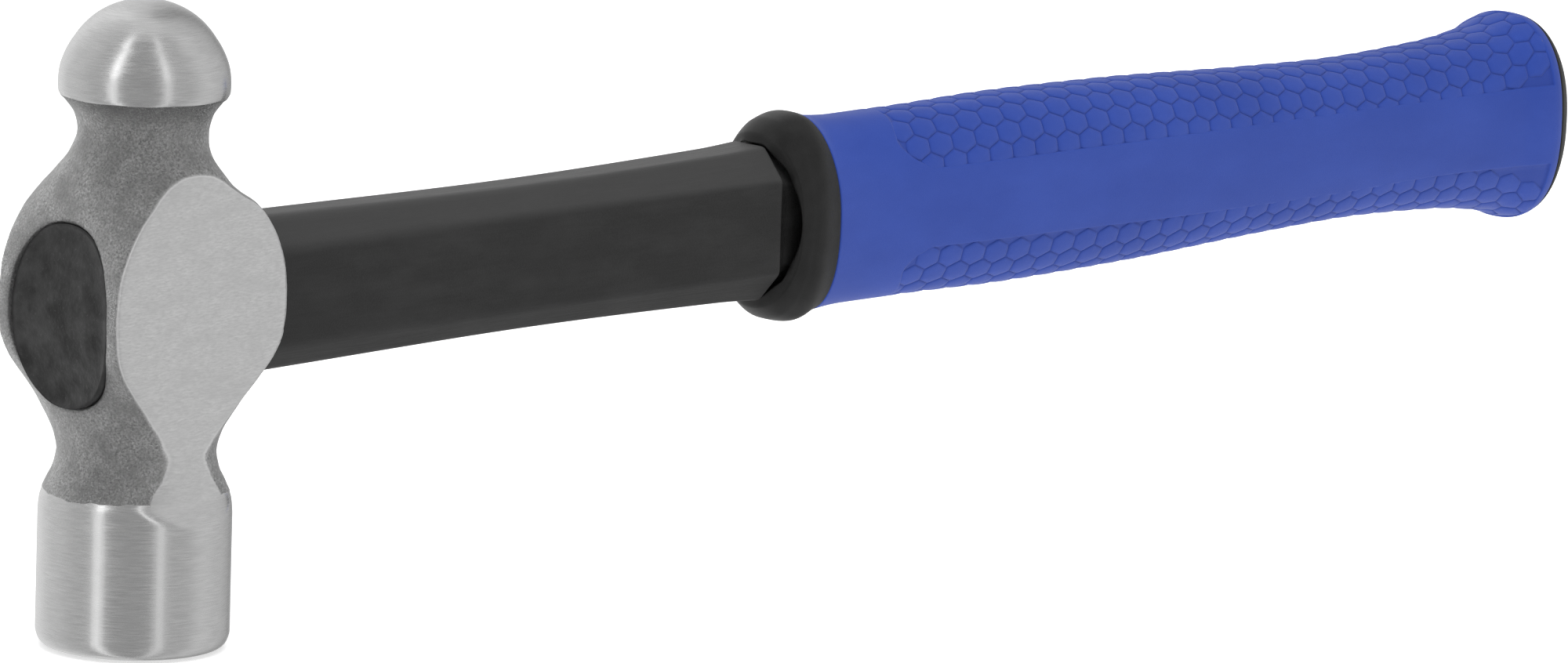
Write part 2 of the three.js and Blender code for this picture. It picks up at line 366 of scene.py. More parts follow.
def head_fields(points):
    """The head's field, and how far each point is inside the grinding, the forging and the eye."""
    x, y, z = points[..., 0], points[..., 1], points[..., 2]
    half_length, half_width, squareness = forging(z)
    extra_length, extra_width = swelling(z)
    back = np.clip(x / half_length, 0, 1)
    back = back * back * (3 - 2 * back)
    half_length = half_length + extra_length * back
    half_width = half_width + extra_width * back
    taper = (forging(z + SLOPE_STEP)[0] - forging(z - SLOPE_STEP)[0]) / (2 * SLOPE_STEP)
    body = outside_of(x, y, half_length, half_width, squareness) / np.sqrt(1 + taper ** 2)
    rise = np.degrees(np.arctan2(z - BALL_CENTRE, np.hypot(x, y)))
    ball = np.sqrt(x * x + y * y + (z - BALL_CENTRE) ** 2) - np.interp(rise, *zip(*BALL_BANDS))
    shape = np.where(z > BALL_CENTRE, ball, body)
    forged = forged_reach(x, y, z)
    rough = np.clip(forged / 0.3, 0, 1)
    shape = shape - rough * FORGING_STEP * np.clip(1 - (forged - 1) / 3, 0, 1)
    shape = shape - rough * FORGING_RIPPLE * ripple(points, waves=14, shortest=1.6, longest=5, seed=3)
    shape = round_max(shape, -z, FACE_EDGE)
    lean = (cheek_half_width(z + SLOPE_STEP) - cheek_half_width(z - SLOPE_STEP)) / (2 * SLOPE_STEP)
    cheek = (np.abs(y) - cheek_half_width(z)) / np.sqrt(1 + lean ** 2)
    ground = cheek - shape
    # The cheek's edge is crisp, apart from its foot, which blends into the bell.
    edge = np.interp(z, [21.5, 24.5, 26, 29], [CHEEK_EDGE, CHEEK_FOOT_EDGE, CHEEK_FOOT_EDGE, CHEEK_EDGE])
    shape = round_max(shape, cheek, edge)
    eye_height, eye_thickness, eye_squareness = eye_hole(x)
    eye = -outside_of(z - EYE_HEIGHT, y, eye_height, eye_thickness, eye_squareness)
    bore = eye - shape
    return round_max(shape, eye, EYE_EDGE), ground, forged, bore


def surface_net(level, start, cell):
    """Points and quads along the zero level of a sampled field."""
    shape = np.array(level.shape)
    inside = level < 0
    corners = [np.array(c) for c in np.ndindex(2, 2, 2)]

    def part(grid, c):
        """The grid's values at one corner of every cell."""
        return grid[tuple(slice(c[a], shape[a] - 1 + c[a]) for a in range(3))]

    count = sum(part(inside, c).astype(int) for c in corners)
    crossed = (count > 0) & (count < 8)
    number = np.full(crossed.shape, -1)
    number[crossed] = np.arange(crossed.sum())
    cells = np.argwhere(crossed)
    total, weight = np.zeros((len(cells), 3)), np.zeros(len(cells))
    for c in corners:
        for axis in range(3):
            if c[axis]:
                continue
            other = c.copy()
            other[axis] = 1
            near, far = part(level, c)[crossed], part(level, other)[crossed]
            cut = (near < 0) != (far < 0)
            t = np.where(cut, near / np.where(cut, near - far, 1), 0)
            place = np.repeat(c[None].astype(float), len(cells), 0)
            place[:, axis] = t
            total += np.where(cut[:, None], place, 0)
            weight += cut
    points = start + cell * (cells + total / weight[:, None])
    faces = []
    for axis in range(3):
        u, v = (axis + 1) % 3, (axis + 2) % 3
        first = [slice(1, -1)] * 3
        second = [slice(1, -1)] * 3
        first[axis], second[axis] = slice(0, -1), slice(1, None)
        a, b = inside[tuple(first)], inside[tuple(second)]
        for flip, change in ((False, a & ~b), (True, ~a & b)):
            at = np.argwhere(change)
            at[:, u] += 1
            at[:, v] += 1
            ring = []
            for du, dv in ((-1, -1), (0, -1), (0, 0), (-1, 0)):
                spot = at.copy()
                spot[:, u] += du
                spot[:, v] += dv
                ring.append(number[tuple(spot.T)])
            faces.append(np.stack(ring[::-1] if flip else ring, 1))
    return points, np.vstack(faces)


def build_head(finish):
    """The steel head, meshed in a box with a little room round it."""
    start = np.array([-19.0, -16.4, -1.0])
    end = np.array([21.0, 16.4, HEAD_LENGTH + 1])
    axes = [np.arange(a, b, HEAD_CELL) for a, b in zip(start, end)]
    level = head_fields(np.stack(np.meshgrid(*axes, indexing="ij"), -1))[0]
    points, faces = surface_net(level, start, HEAD_CELL)
    reach = 0.02  # each way, to measure the field's slope
    for _ in range(4):
        slope = np.stack([
            head_fields(points + reach * step)[0] - head_fields(points - reach * step)[0]
            for step in np.eye(3)
        ], -1) / (2 * reach)
        steep = np.maximum((slope ** 2).sum(-1), 0.2)
        points = points - np.clip(head_fields(points)[0] / steep, -0.3, 0.3)[:, None] * slope
    points[:, 2] = np.clip(points[:, 2], 0, HEAD_LENGTH)
    _, ground, forged, bore = head_fields(points)
    fields = {"ground": ground, "forged": forged, "bore": bore}
    return make_piece("steel_head", points, faces, finish, ["hammer_head"], fields)


# ---- The handle ----

AROUND = np.linspace(0, 2 * math.pi, 96, endpoint=False)


def section(x, shape, outward=0.0):
    """A ring round the handle at x, from a table such as eye_hole or grip."""
    half_height, half_thickness, squareness = shape(x)
    return superellipse(x, half_height, half_thickness, squareness, AROUND, outward)


def build_resin(finish):
    """The filling of the eye. Its front bulges at mid height and creeps up the wall of the eye."""
    rings = []
    for share in np.linspace(0.04, 1, 26):
        ring = section(RESIN_FRONT, eye_hole)
        middle = np.array([RESIN_FRONT, 0, EYE_HEIGHT])
        ring = middle + (ring - middle) * share
        rise = 1.5 * np.clip(1 - ((ring[:, 2] - EYE_HEIGHT) / 13) ** 2, 0, 1)
        ring[:, 0] += 0.4 - 0.8 * share ** 10 - rise
        waves = ripple(ring, waves=9, shortest=5, longest=14, seed=11)
        ring[:, 0] += 0.14 * waves * (1 - share ** 6)
        rings.append(ring)
    rings += [section(x, eye_hole) for x in np.linspace(RESIN_FRONT + 0.6, RESIN_BACK, 12)]
    points, faces = loft(rings)
    return make_piece("potting_resin", points, faces, finish, ["eye_resin"])


def shaft_ring(x, inset=0.0):
    """The shaft's section. Its corners are softer near the head than at the collar."""
    half_height = shaft_half_height(x) - inset
    half_thickness = shaft_half_height(x) * SHAFT_THICKNESS_RATIO - inset
    corner = float(np.interp(x, [30, 125], [3.4, 1.6]))
    return chamfered_ring(x, half_height, half_thickness, SHAFT_TOP_FLAT, SHAFT_SIDE_FLAT, corner)


def chamfered_ring(x, half_height, half_thickness, top_flat, side_flat, corner):
    """A rectangle with cut corners, whose flats have these half widths and whose corners are rounded."""
    quarter = [(top_flat, half_height), (half_thickness, side_flat)]
    corners = quarter + [(y, -z) for y, z in quarter[::-1]]
    corners += [(-y, -z) for y, z in quarter] + [(-y, z) for y, z in quarter[::-1]]
    outline = rounded_outline(corners, corner)
    return np.column_stack([np.full(len(outline), x), -outline[:, 0], outline[:, 1] + EYE_HEIGHT])


def build_seal(finish):
    """The ring of sealant round the shaft at the back of the eye, hollowed like a fillet."""
    def shaft_like(x):
        return shaft_half_height(x) - 0.1, shaft_half_height(x) * 0.6, 3.2

    rings = [section(SEAL_FRONT, shaft_like), section(SEAL_FRONT, eye_hole), section(12, eye_hole)]
    outer, inner = section(SEAL_BACK, eye_hole), section(SEAL_BACK, shaft_like)
    for share in np.linspace(0, 1, 9):
        ring = outer + (inner - outer) * share
        ring[:, 0] += -1.0 * math.sin(math.pi * share) + 0.4 * share
        rings.append(ring)
    points, faces = loft(rings + rings[:1], False, False)
    return make_piece("eye_sealant", points, faces, finish, ["eye_seal"])


def build_shaft(finish):
    """The jacket of the shaft, which steps in to a tang under the grip."""
    end_radius = 0.6
    rings = [shaft_ring(x) for x in np.linspace(SHAFT_START, SHAFT_END - end_radius, 140)]
    for angle in np.linspace(0, math.pi / 2, 6)[1:]:
        x = SHAFT_END - end_radius * (1 - math.sin(angle))
        rings.append(shaft_ring(x, inset=end_radius * (1 - math.cos(angle))))
    tang = {"half_height": 11.2, "half_thickness": 6.3, "top_flat": 3, "side_flat": 6.8, "corner": 1.6}
    rings += [chamfered_ring(x, **tang) for x in (SHAFT_END + 0.05, 136, 142, 160, 240, TANG_END)]
    points, faces = loft(rings)
    return make_piece("shaft", points, faces, finish, ["shaft_jacket"])


def seam(around):
    """Where the collar ends and the blue rubber starts. It leans forward at the top."""
    return COVER_START - SEAM_LEAN * np.maximum(np.cos(around), 0) ** 2


# The collar's outline, from the bottom of its funnel out over the lip to its crest. Its lip
# bends back round the shaft's sides. Distance along the outline, place at the top, place at the
# sides, half height, half thickness, squareness.
collar = smooth_columns([
    (0, 142, 142, 11.8, 7, 2.1),
    (3.5, 138.4, 139.6, 12.2, 7.8, 2.2),
    (6.5, 135, 138, 12.4, 8.5, 2.3),
    (7.8, COLLAR_FRONT + 0.12, 137.1, 12.7, 8.8, 2.35),
    (LIP_DISTANCE, COLLAR_FRONT, 136.75, 13.2, 9, 2.4),
    (9.1, COLLAR_FRONT + 0.2, 136.85, 13.9, 9.25, 2.4),
    (10.3, 134.5, 137.4, 14.9, 9.45, 2.4),
    (12.8, 137.2, 138.9, 16.7, 9.75, 2.4),
    (COLLAR_LENGTH, COLLAR_CREST, COLLAR_CREST, 17.4, 9.9, 2.5),
    (COLLAR_LENGTH + 2, COLLAR_CREST + 2, COLLAR_CREST + 2, 17.2, 9.7, 2.5),
])


def shaft_reach():
    """The distance from the handle's axis to the shaft's skin in each direction round the end."""
    outline = shaft_ring(SHAFT_END)
    y, z = outline[:, 1], outline[:, 2] - EYE_HEIGHT
    return np.interp(AROUND, np.arctan2(-y, z), np.hypot(y, z), period=2 * math.pi)


def build_liner(finish):
    """The black sleeve of the grip: its collar, the part under the rubber, and the butt cap."""
    rings = []
    reach = shaft_reach()
    for distance in np.concatenate([np.linspace(0, 7, 10), np.linspace(7.3, COLLAR_LENGTH, 36)]):
        top, side, *shape = collar(distance)
        ring = superellipse(top + (side - top) * np.sin(AROUND) ** 2, *shape, AROUND)
        # The funnel hugs the shaft's top and bottom, and stands off its sides.
        radius = np.hypot(ring[:, 1], ring[:, 2] - EYE_HEIGHT)
        hug = np.interp(distance, [LIP_DISTANCE, LIP_DISTANCE + 1.2], [1, 0]) * (1 - np.sin(AROUND) ** 8)
        scale = 1 + hug * (np.minimum((reach + 0.1) / radius, 1) - 1)
        ring[:, 1] *= scale
        ring[:, 2] = EYE_HEIGHT + (ring[:, 2] - EYE_HEIGHT) * scale
        rings.append(ring)
    for share in np.linspace(0, 1, 14)[1:]:
        rings.append(section(COLLAR_CREST + (seam(AROUND) - 0.2 - COLLAR_CREST) * share, grip))
    rings.append(section(seam(AROUND) - 0.02, grip, -0.2))
    under = np.concatenate([[COVER_START + 0.2], np.linspace(150, COVER_END, 24)])
    rings += [section(x, grip, -LINER_INSET) for x in under]
    rings += [section(COVER_END + 0.05, grip, outward) for outward in (-LINER_INSET, -0.3, -0.06)]
    rings += [section(x, grip) for x in np.linspace(COVER_END + 0.15, BUTT_END - 0.5, 12)]
    rings += [section(BUTT_END - 0.25, grip, -0.1), section(BUTT_END - 0.05, grip, -0.5)]
    rings += [section(BUTT_END, grip, -outward) for outward in (1.2, 3, 5)]
    points, faces = loft(rings)
    return make_piece("grip_sleeve", points, faces, finish, ["grip_liner"])


# ---- The blue rubber, with a smooth band along each side between two tiled pads ----

upper_edge = smooth_curve([(COVER_START, 6.4), (190, 6.6), (290, 6.5), (PAD_END, 7)])
lower_edge = smooth_curve([
    (COVER_START, -6.7), (195, -7), (226, -7.5), (265, -7.7), (295, -7), (PAD_END, -7),
])
# Where each pad starts along the handle, by height above or below the handle's axis.
upper_front = smooth_curve([(6.5, 167.2), (9.25, 162.4), (11.5, 160.5), (16, 161.6)])
lower_front = smooth_curve([(6.7, 168), (7.4, 165.6), (10.5, 162.3), (13.7, 163.3), (16, 164)])


def angle_at(x, height):
    """The angle from the handle's top at which its side is at this height over its axis."""
    half_height, _, squareness = grip(x)
    up = np.clip(height / half_height, -1, 1)
    return np.arctan2((1 - np.abs(up) ** squareness) ** (1 / squareness), up)


def height_at(x, around):
    """The height over the handle's axis at an angle from its top."""
    half_height, half_thickness, squareness = grip(x)
    return superellipse(x, half_height, half_thickness, squareness, around)[..., 2] - EYE_HEIGHT


# Across the edge of a pad: distance into the pad, and the share of the pad's depth there.
EDGE = [(-0.4, 0), (-0.16, 0.04), (-0.03, 0.22), (0.05, 1)]


def cover_columns():
    """For each line along one side of the cover: its angle as a function of x, and its depth share."""
    columns = []

    def between(start, end, count, share):
        for t in np.linspace(0, 1, count)[1:-1]:
            columns.append((lambda x, t=t: start(x) * (1 - t) + end(x) * t, share))

    def edge_line(edge, offset):
        return lambda x: angle_at(x, edge(x) + offset)

    columns.append((lambda x: 0 * x, 1))
    between(lambda x: 0 * x, edge_line(upper_edge, EDGE[-1][0]), 18, 1)
    columns.extend((edge_line(upper_edge, offset), share) for offset, share in EDGE[::-1])
    between(edge_line(upper_edge, EDGE[0][0]), edge_line(lower_edge, -EDGE[0][0]), 26, 0)
    columns.extend((edge_line(lower_edge, -offset), share) for offset, share in EDGE)
    between(edge_line(lower_edge, -EDGE[-1][0]), lambda x: math.pi + 0 * x, 18, 1)
    columns.append((lambda x: math.pi + 0 * x, 1))
    return columns


def cover_rows(start, front):
    """Places along the cover from start, and the depth share at each, for a pad that starts at front."""
    ahead = [(x, 0) for x in np.linspace(start + 0.5, front - 0.8, 22)]
    opening = [(front + offset, share) for offset, share in EDGE]
    middle = [(x, 1) for x in np.linspace(front + 0.8, PAD_END - 0.8, 160)]
    closing = [(PAD_END - offset, share) for offset, share in EDGE[::-1]]
    behind = [(x, 0) for x in np.linspace(PAD_END + 0.7, COVER_END - 0.4, 10)]
    return np.array(ahead + opening + middle + closing + behind)


def build_cover(finish):
    """The blue rubber, a shell whose pads are sunk by the depth of the grooves between their tiles."""
    half = cover_columns()
    near = [(line, share, 1) for line, share in half]
    far = [(line, share, -1) for line, share in half[-2:0:-1]]
    column_points, column_depths = [], []
    for line, share, side in near + far:
        height = height_at(PAD_FRONT, line(np.float64(PAD_FRONT)))
        front = upper_front(height) if height > 0 else lower_front(-height)
        start = float(seam(line(np.float64(COVER_START))))
        rows = cover_rows(start, float(front))
        x, outward = rows[:, 0], -PAD_DEPTH * share * rows[:, 1]
        # The rubber's two ends roll in, and its inside closes the shell.
        start_x, start_out = [start, start, start + 0.06, start + 0.2], [-1.2, -0.3, -0.1, 0]
        end_x, end_out = [COVER_END - 0.2, COVER_END - 0.04, COVER_END, COVER_END], [0, -0.08, -0.3, -1.4]
        inner_x = np.linspace(COVER_END - 0.2, start + 0.2, 24)
        x = np.concatenate([start_x, x, end_x, inner_x])
        outward = np.concatenate([start_out, outward, end_out, np.full(len(inner_x), -COVER_WALL)])
        column_points.append(superellipse(x, *grip(x), line(x) * side, outward))
        column_depths.append(np.where(np.arange(len(x)) < len(start_x) + len(rows), -outward, 0))
    points = np.stack(column_points, 1)
    depth = np.stack(column_depths, 1)
    faces = grid_faces(*points.shape[:2], closed_rows=True)
    return make_piece("grip_rubber", points.reshape(-1, 3), faces, finish, ["grip_cover"],
                      {"depth": depth})


class Girth:
    """Turns a distance round the cover from its top or bottom line into an angle."""

    def __init__(self):
        self.x = np.arange(COVER_START, COVER_END, 1.0)
        angles = np.linspace(0, math.pi, 241)
        self.distance = np.arange(0, 46, GIRTH_STEP)
        self.half, table = [], []
        for x in self.x:
            points = superellipse(x, *grip(x), angles)
            steps = np.linalg.norm(np.diff(points, axis=0), axis=1)
            travelled = np.concatenate([[0], np.cumsum(steps)])
            table.append(np.interp(self.distance, travelled, angles))
            self.half.append(travelled[-1])
        self.table = np.array(table)

    def angle(self, x, offset, from_bottom):
        """The angle at an offset from the top or the bottom line, which is positive towards -Y."""
        distance = np.abs(offset)
        if from_bottom:
            distance = np.interp(x, self.x, self.half) - distance
        i = np.clip(x - self.x[0], 0, len(self.x) - 1.001)
        j = np.clip(distance / GIRTH_STEP, 0, len(self.distance) - 1.001)
        i0, j0 = i.astype(int), j.astype(int)
        s, t = i - i0, j - j0
        value = ((1 - s) * ((1 - t) * self.table[i0, j0] + t * self.table[i0, j0 + 1])
                 + s * ((1 - t) * self.table[i0 + 1, j0] + t * self.table[i0 + 1, j0 + 1]))
        return np.copysign(value, offset)


# A tile's section from its foot to its middle: share of the outline, height over the smooth rubber.
TILE_STEPS = [(0.985, -PAD_DEPTH), (0.955, -0.24), (0.9, -0.17), (0.78, -0.1), (0.5, -0.03), (0.22, 0)]


def tile_outline():
    """One tile's cell: a hexagon whose points lie round the handle, with rounded corners."""
    half, shoulder, tip = TILE_PITCH / 2, TILE_ROW / 3, TILE_ROW * 2 / 3
    corners = [
        (half, shoulder), (0, tip), (-half, shoulder),
        (-half, -shoulder), (0, -tip), (half, -shoulder),
    ]
    return rounded_outline(corners, 0.7, arc_steps=2, side_steps=3)


def build_pad(name, finish, rows, from_bottom):
    """A field of tiles along the top or the bottom of the grip."""
    girth = Girth()
    outline = tile_outline()
    columns = len(outline)
    points, faces, depths = [], [], []
    edge, front = (lower_edge, lower_front) if from_bottom else (upper_edge, upper_front)
    for row in rows:
        shift = 0.5 if (row % 2 == 0) != from_bottom else 0.0
        for step in range(-2, 32):
            x = TILE_PHASE + TILE_PITCH * (step + shift)
            offset = (row + 0.5) * TILE_ROW if from_bottom else row * TILE_ROW
            height = abs(height_at(x, girth.angle(np.array([x]), np.array([offset]), from_bottom))[0])
            beside = height < abs(edge(x)) - TILE_SPARE
            if beside or x > PAD_END + TILE_SPARE or x < front(height) - TILE_SPARE_AHEAD:
                continue
            first = sum(len(p) for p in points)
            for share, level in TILE_STEPS + [(0.0, 0.0)]:
                ring = outline * share if share else np.zeros((1, 2))
                px = np.minimum(x + ring[:, 0], PAD_END + 0.2)
                around = girth.angle(px, offset + ring[:, 1], from_bottom)
                points.append(superellipse(px, *grip(px), around, level))
                depths.append(np.full(len(px), -level))
            faces += grid_faces(len(TILE_STEPS), columns, first=first)
            last = first + (len(TILE_STEPS) - 1) * columns
            middle = last + columns
            faces += [(last + j, middle, last + (j + 1) % columns) for j in range(columns)]
    fields = {"depth": np.concatenate(depths)}
    return make_piece(name, np.vstack(points), faces, finish, [], fields)


# ---- Materials ----

class Nodes:
    """A node tree, built up one node at a time."""

    def __init__(self, tree):
        self.tree = tree
        self.tree.nodes.clear()

    def node(self, kind, inputs=None, **properties):
        """A new node, whose inputs are linked where the value is a socket and set where it isn't."""
        made = self.tree.nodes.new(kind)
        for key, value in properties.items():
            setattr(made, key, value)
        for key, value in (inputs or {}).items():
            if isinstance(value, bpy.types.NodeSocket):
                self.tree.links.new(value, made.inputs[key])
            else:
                made.inputs[key].default_value = value
        return made

    def math(self, operation, first, second=0.0):
        return self.node("ShaderNodeMath", {0: first, 1: second}, operation=operation).outputs[0]

    def remap(self, value, low_in, high_in, low_out=0.0, high_out=1.0, interpolation="LINEAR"):
        inputs = {"Value": value, "From Min": low_in, "From Max": high_in}
        inputs |= {"To Min": low_out, "To Max": high_out}
        made = self.node("ShaderNodeMapRange", inputs, clamp=True, interpolation_type=interpolation)
        return made.outputs["Result"]

    def mix(self, share, first, second):
        """A mix of two numbers."""
        inputs = {"Factor": share, "A": first, "B": second}
        return self.node("ShaderNodeMix", inputs, data_type="FLOAT").outputs["Result"]


class Finish(Nodes):
    """A material, with procedural patterns that are laid out in millimetres."""

    def __init__(self, name):
        self.material = bpy.data.materials.new(name)
        self.material.use_nodes = True
        super().__init__(self.material.node_tree)
        place = self.node("ShaderNodeTexCoord").outputs["Object"]
        self.place = self.vector("SCALE", place, Scale=1 / MM)

    def vector(self, operation, first, second=None, **inputs):
        inputs = {0: first, **inputs}
        if second is not None:
            inputs[1] = second
        return self.node("ShaderNodeVectorMath", inputs, operation=operation).outputs[0]

    def noise(self, scale, stretch=(1, 1, 1), detail=3.0, roughness=0.5, seed=0.0):
        """Noise with features about 1/scale millimetres across, longer where stretch is small."""
        place = self.vector("MULTIPLY", self.place, stretch)
        place = self.vector("ADD", place, (seed, 2 * seed, 3 * seed))
        inputs = {"Vector": place, "Scale": scale, "Detail": detail, "Roughness": roughness}
        return self.node("ShaderNodeTexNoise", inputs).outputs["Fac"]

    def cells(self, scale):
        """The distance from the middles of random cells, which are about 1/scale millimetres across."""
        inputs = {"Vector": self.place, "Scale": scale}
        return self.node("ShaderNodeTexVoronoi", inputs).outputs["Distance"]

    def field(self, name):
        """A value that the mesh carries at each of its points."""
        return self.node("ShaderNodeAttribute", attribute_name=name).outputs["Fac"]

    def mix_colour(self, share, first, second):
        made = self.node("ShaderNodeMix", {"Factor": share}, data_type="RGBA")
        for socket, value in ((made.inputs[6], first), (made.inputs[7], second)):
            if isinstance(value, bpy.types.NodeSocket):
                self.tree.links.new(value, socket)
            else:
                socket.default_value = (*value, 1)
        return made.outputs[2]

    def bump(self, height, depth, normal=None):
        """Bumps of a depth in millimetres."""
        inputs = {"Height": height, "Distance": depth * MM, "Strength": 1.0}
        if normal is not None:
            inputs["Normal"] = normal
        return self.node("ShaderNodeBump", inputs).outputs["Normal"]

    def finish(self, **inputs):
        """The material, with these inputs of its shader set or linked."""
        inputs = {name.replace("_", " "): value for name, value in inputs.items()}
        shader = self.node("ShaderNodeBsdfPrincipled", inputs)
        self.node("ShaderNodeOutputMaterial", {"Surface": shader.outputs[0]})
        return self.material


def grey(level):
    return (level, level, level)


def steel_finish():
    """Steel: turned on the bell and ball, ground along the cheeks, rough where only forged."""
    f = Finish("forged_and_ground_steel")
    wander = f.remap(f.noise(2.2), 0, 1, -0.12, 0.12)
    ground = f.remap(f.math("ADD", f.field("ground"), wander), -0.06, 0.1)
    forged = f.remap(f.field("forged"), -0.03, 0.07)
    bore = f.remap(f.field("bore"), -0.25, 0.15)
    height = f.node("ShaderNodeSeparateXYZ", {0: f.place}).outputs["Z"]
    # Low down, the grinding fades into the turned bell.
    flat = f.math("MULTIPLY", ground, f.remap(height, 21, 26.5))
    rough = f.math("MAXIMUM", f.math("MULTIPLY", forged, f.math("SUBTRACT", 1.0, ground)), bore)

    # Fine lines at even heights: turning marks on the round parts, grinding marks on the cheeks.
    lines = f.noise(9, (0.04, 0.04, 1), 3, 0.6, 1)
    brushed = f.noise(3.4, (0.25, 0.25, 1), 4, 0.65, 7)
    broad = f.noise(0.5, (0.4, 0.4, 1), 4, 0.6, 2)
    grain = f.noise(2.6, detail=6, roughness=0.75, seed=3)
    scale = f.noise(0.22, detail=5, roughness=0.6, seed=4)
    pits = f.cells(2.3)
    patches = f.remap(f.noise(0.16, seed=5), 0.46, 0.62)
    # Painted glints: pale, smoother specks whose colour stands in for sparkle. They gather just above the
    # bell and just under the ball.
    edges = f.remap(f.field("forged"), 4.5, 0.4)
    edges = f.math("MULTIPLY", edges, f.remap(f.noise(0.5, seed=6), 0.42, 0.6))
    painted_glints = f.math("MULTIPLY", f.remap(f.cells(3.1), 0.32, 0.14), f.math("MAXIMUM", patches, edges))

    bright = f.mix_colour(f.remap(lines, 0.34, 0.66), grey(0.55), grey(0.69))
    bright = f.mix_colour(f.remap(broad, 0.35, 0.7, 0, 0.4), bright, grey(0.55))
    cheek = f.mix_colour(f.remap(brushed, 0.34, 0.66), grey(0.59), grey(0.75))
    cheek = f.mix_colour(f.remap(broad, 0.4, 0.65, 0, 0.45), cheek, grey(0.58))
    dull = f.mix_colour(f.remap(grain, 0.36, 0.64), grey(0.27), grey(0.78))
    dull = f.mix_colour(f.remap(scale, 0.38, 0.62, 0, 0.6), dull, grey(0.33))
    # Painted shade: the forging's colour darkens just under the overhanging ball.
    dull = f.mix_colour(f.remap(height, 83.5, 87, 0, 0.6), dull, grey(0.14))
    # The painted glints are mixed into the forging's colour as near-white specks.
    dull = f.mix_colour(painted_glints, dull, grey(0.97))
    colour = f.mix_colour(flat, bright, cheek)
    colour = f.mix_colour(rough, colour, dull)
    # A painted highlight: the colour is lightened along the edge of the grinding.
    edge = f.remap(f.math("ABSOLUTE", f.field("ground")), 0.3, 0.05, 0, 0.6)
    colour = f.mix_colour(f.math("MULTIPLY", edge, f.remap(height, 26, 32)), colour, grey(0.9))
    # Painted shade: the wall of the eye is darkened where it sinks into the hole.
    colour = f.mix_colour(f.math("MULTIPLY", bore, 0.7), colour, grey(0.08))

    fine = f.mix(flat, f.remap(lines, 0.3, 0.7, 0.2, 0.31), f.remap(brushed, 0.3, 0.7, 0.32, 0.42))
    coarse = f.mix(painted_glints, f.remap(grain, 0.3, 0.7, 0.28, 0.46), 0.18)
    roughness = f.mix(rough, fine, coarse)

    smooth = f.bump(lines, 0.0035)
    hammered = f.math("ADD", f.math("MULTIPLY", pits, 0.35), f.math("MULTIPLY", grain, 1.2))
    hammered = f.bump(hammered, 0.5)
    normal = f.node("ShaderNodeMix", {"Factor": rough, 4: smooth, 5: hammered}, data_type="VECTOR")
    return f.finish(Base_Color=colour, Metallic=1.0, Roughness=roughness, Normal=normal.outputs[1])


def resin_finish():
    """Cast resin, mottled and half glossy, with a few trapped bubbles."""
    f = Finish("potting_resin")
    clouds = f.noise(0.22, detail=5, roughness=0.6, seed=1)
    specks = f.noise(2.4, detail=3, seed=2)
    colour = f.mix_colour(f.remap(clouds, 0.38, 0.66), grey(0.008), grey(0.03))
    colour = f.mix_colour(f.remap(specks, 0.62, 0.75, 0, 0.4), colour, grey(0.07))
    roughness = f.remap(clouds, 0.3, 0.7, 0.5, 0.32)
    normal = f.bump(f.noise(0.9, detail=4, seed=3), 0.12)
    return f.finish(Base_Color=colour, Roughness=roughness, Normal=normal, Specular_IOR_Level=0.35)


def seal_finish():
    """Soft black sealant, dusty and finely rippled."""
    f = Finish("seal_rubber")
    dust = f.noise(1.3, detail=5, roughness=0.65, seed=1)
    colour = f.mix_colour(f.remap(dust, 0.35, 0.75), grey(0.012), grey(0.03))
    return f.finish(Base_Color=colour, Roughness=f.remap(dust, 0.3, 0.7, 0.55, 0.75),
                    Normal=f.bump(f.noise(1.6, detail=4, seed=2), 0.08))


def core_finish():
    """Pultruded fibreglass, with its strands along the handle."""
    f = Finish("fibreglass")
    strands = f.noise(6.0, (0.02, 1, 1), 4, 0.6, 1)
    colour = f.mix_colour(f.remap(strands, 0.3, 0.7), (0.42, 0.36, 0.16), (0.66, 0.6, 0.34))
    return f.finish(Base_Color=colour, Roughness=f.remap(strands, 0.3, 0.7, 0.35, 0.5),
                    Normal=f.bump(strands, 0.03))


def jacket_finish():
    """The shaft's black skin, drawn along its length, with fine dust in its grain; the faces that look up
    get painted light.
    """
    f = Finish("black_jacket")
    drawn = f.noise(3.2, (0.03, 1, 1), 4, 0.6, 1)
    grain = f.noise(4.5, detail=4, roughness=0.6, seed=2)
    scuffs = f.noise(0.22, (0.35, 1, 1), 4, 0.6, 3)
    colour = f.mix_colour(f.remap(grain, 0.3, 0.7), grey(0.009), grey(0.016))
    colour = f.mix_colour(f.remap(scuffs, 0.45, 0.75, 0, 0.5), colour, grey(0.026))
    # Painted light: the faces that look up are made paler, standing in for the overhead light falling on
    # them.
    up = f.node("ShaderNodeSeparateXYZ", {0: f.node("ShaderNodeTexCoord").outputs["Normal"]}).outputs["Z"]
    colour = f.mix_colour(f.remap(up, 0, 0.95, 0, 0.85), colour, grey(0.05))
    roughness = f.remap(drawn, 0.3, 0.7, 0.42, 0.52)
    normal = f.bump(grain, 0.035, f.bump(drawn, 0.03))
    return f.finish(Base_Color=colour, Roughness=roughness, Normal=normal, Specular_IOR_Level=0.32)


def liner_finish():
    """Moulded black plastic with a fine satin grain."""
    f = Finish("black_liner")
    grain = f.noise(5.0, detail=4, roughness=0.6, seed=1)
    clouds = f.noise(0.3, detail=3, seed=2)
    colour = f.mix_colour(f.remap(clouds, 0.35, 0.7), grey(0.005), grey(0.009))
    return f.finish(Base_Color=colour, Roughness=f.remap(grain, 0.3, 0.7, 0.34, 0.46),
                    Normal=f.bump(grain, 0.03), Specular_IOR_Level=0.32)


